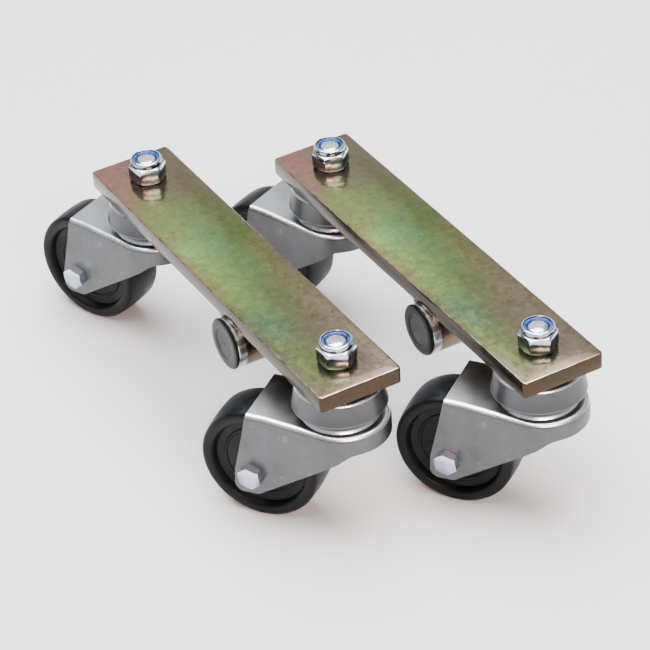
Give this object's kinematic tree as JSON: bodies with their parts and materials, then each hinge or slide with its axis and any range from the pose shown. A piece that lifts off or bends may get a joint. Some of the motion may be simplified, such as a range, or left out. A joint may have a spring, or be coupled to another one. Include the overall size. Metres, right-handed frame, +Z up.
{
  "type": "paddock stand castor bogie pair",
  "caption": "Pair of staggered flat-bar bogies on swivel castors, each with a plugged cross tube welded beneath, for rolling a motorcycle paddock stand sideways.",
  "frame": {"origin": "on the floor, below the middle of the box around the pair at rest", "axes": "+Y along both bars from their front ends to their back ends, +X from the left bogie to the right one, +Z up"},
  "size_m": [0.1788, 0.3744, 0.1219],
  "materials": {
    "yellow_passivated_steel": "hot-rolled flat and tube, yellow passivated: taupe brown clouded with green, pink and straw",
    "bright_zinc_steel": "bright zinc plated pressings and fasteners, satin to mirror",
    "ball_steel": "bright bearing balls in a greased steel cage",
    "black_wheel_rubber": "smooth moulded black rubber, satin",
    "black_plug_plastic": "glossy black moulded polyethylene",
    "blue_nylon": "blue nylon locking ring"
  },
  "bodies": {
    "bogie_bars": {"left_bar": "yellow_passivated_steel", "left_cross_tube": "yellow_passivated_steel", "left_weld_front": "yellow_passivated_steel", "left_weld_back": "yellow_passivated_steel", "left_tube_plug": "black_plug_plastic", "left_front_upper_cup": "bright_zinc_steel", "left_front_race_sleeve": "bright_zinc_steel", "left_front_king_bolt": "bright_zinc_steel", "left_front_lock_nut": "bright_zinc_steel", "left_front_nut_insert": "blue_nylon", "left_back_upper_cup": "bright_zinc_steel", "left_back_race_sleeve": "bright_zinc_steel", "left_back_king_bolt": "bright_zinc_steel", "left_back_lock_nut": "bright_zinc_steel", "left_back_nut_insert": "blue_nylon", "right_bar": "yellow_passivated_steel", "right_cross_tube": "yellow_passivated_steel", "right_weld_front": "yellow_passivated_steel", "right_weld_back": "yellow_passivated_steel", "right_tube_plug": "black_plug_plastic", "right_front_upper_cup": "bright_zinc_steel", "right_front_race_sleeve": "bright_zinc_steel", "right_front_king_bolt": "bright_zinc_steel", "right_front_lock_nut": "bright_zinc_steel", "right_front_nut_insert": "blue_nylon", "right_back_upper_cup": "bright_zinc_steel", "right_back_race_sleeve": "bright_zinc_steel", "right_back_king_bolt": "bright_zinc_steel", "right_back_lock_nut": "bright_zinc_steel", "right_back_nut_insert": "blue_nylon"},
    "left_front_swivel_body": {"left_front_fork": "bright_zinc_steel", "left_front_upper_balls": "ball_steel", "left_front_lower_balls": "ball_steel", "left_front_axle_bolt": "bright_zinc_steel", "left_front_axle_nut": "bright_zinc_steel", "left_front_hub_sleeve": "bright_zinc_steel"},
    "left_front_wheel_body": {"left_front_wheel": "black_wheel_rubber"},
    "left_back_swivel_body": {"left_back_fork": "bright_zinc_steel", "left_back_upper_balls": "ball_steel", "left_back_lower_balls": "ball_steel", "left_back_axle_bolt": "bright_zinc_steel", "left_back_axle_nut": "bright_zinc_steel", "left_back_hub_sleeve": "bright_zinc_steel"},
    "left_back_wheel_body": {"left_back_wheel": "black_wheel_rubber"},
    "right_front_swivel_body": {"right_front_fork": "bright_zinc_steel", "right_front_upper_balls": "ball_steel", "right_front_lower_balls": "ball_steel", "right_front_axle_bolt": "bright_zinc_steel", "right_front_axle_nut": "bright_zinc_steel", "right_front_hub_sleeve": "bright_zinc_steel"},
    "right_front_wheel_body": {"right_front_wheel": "black_wheel_rubber"},
    "right_back_swivel_body": {"right_back_fork": "bright_zinc_steel", "right_back_upper_balls": "ball_steel", "right_back_lower_balls": "ball_steel", "right_back_axle_bolt": "bright_zinc_steel", "right_back_axle_nut": "bright_zinc_steel", "right_back_hub_sleeve": "bright_zinc_steel"},
    "right_back_wheel_body": {"right_back_wheel": "black_wheel_rubber"}
  },
  "joints": [
    {"name": "left_front_swivel", "type": "hinge", "parent": "bogie_bars", "child": "left_front_swivel_body", "pos_m": [-0.0322, -0.11006, 0.085], "axis": [0, 0, 1], "range_deg": [-65, 160]},
    {"name": "left_front_wheel_spin", "type": "hinge", "parent": "left_front_swivel_body", "child": "left_front_wheel_body", "pos_m": [-0.05988, -0.07333, 0.035], "axis": [0.7986, 0.6018, 0], "continuous": true},
    {"name": "left_back_swivel", "type": "hinge", "parent": "bogie_bars", "child": "left_back_swivel_body", "pos_m": [-0.0322, 0.10994, 0.085], "axis": [0, 0, 1], "range_deg": [-55, 185]},
    {"name": "left_back_wheel_spin", "type": "hinge", "parent": "left_back_swivel_body", "child": "left_back_wheel_body", "pos_m": [-0.05128, 0.1518, 0.035], "axis": [0.91, 0.4147, 0], "continuous": true},
    {"name": "right_front_swivel", "type": "hinge", "parent": "bogie_bars", "child": "right_front_swivel_body", "pos_m": [0.0628, -0.16006, 0.085], "axis": [0, 0, 1], "continuous": true},
    {"name": "right_front_wheel_spin", "type": "hinge", "parent": "right_front_swivel_body", "child": "right_front_wheel_body", "pos_m": [0.03512, -0.12333, 0.035], "axis": [0.7986, 0.6018, 0], "continuous": true},
    {"name": "right_back_swivel", "type": "hinge", "parent": "bogie_bars", "child": "right_back_swivel_body", "pos_m": [0.0628, 0.05994, 0.085], "axis": [0, 0, 1], "continuous": true},
    {"name": "right_back_wheel_spin", "type": "hinge", "parent": "right_back_swivel_body", "child": "right_back_wheel_body", "pos_m": [0.04372, 0.1018, 0.035], "axis": [0.91, 0.4147, 0], "continuous": true}
  ]
}
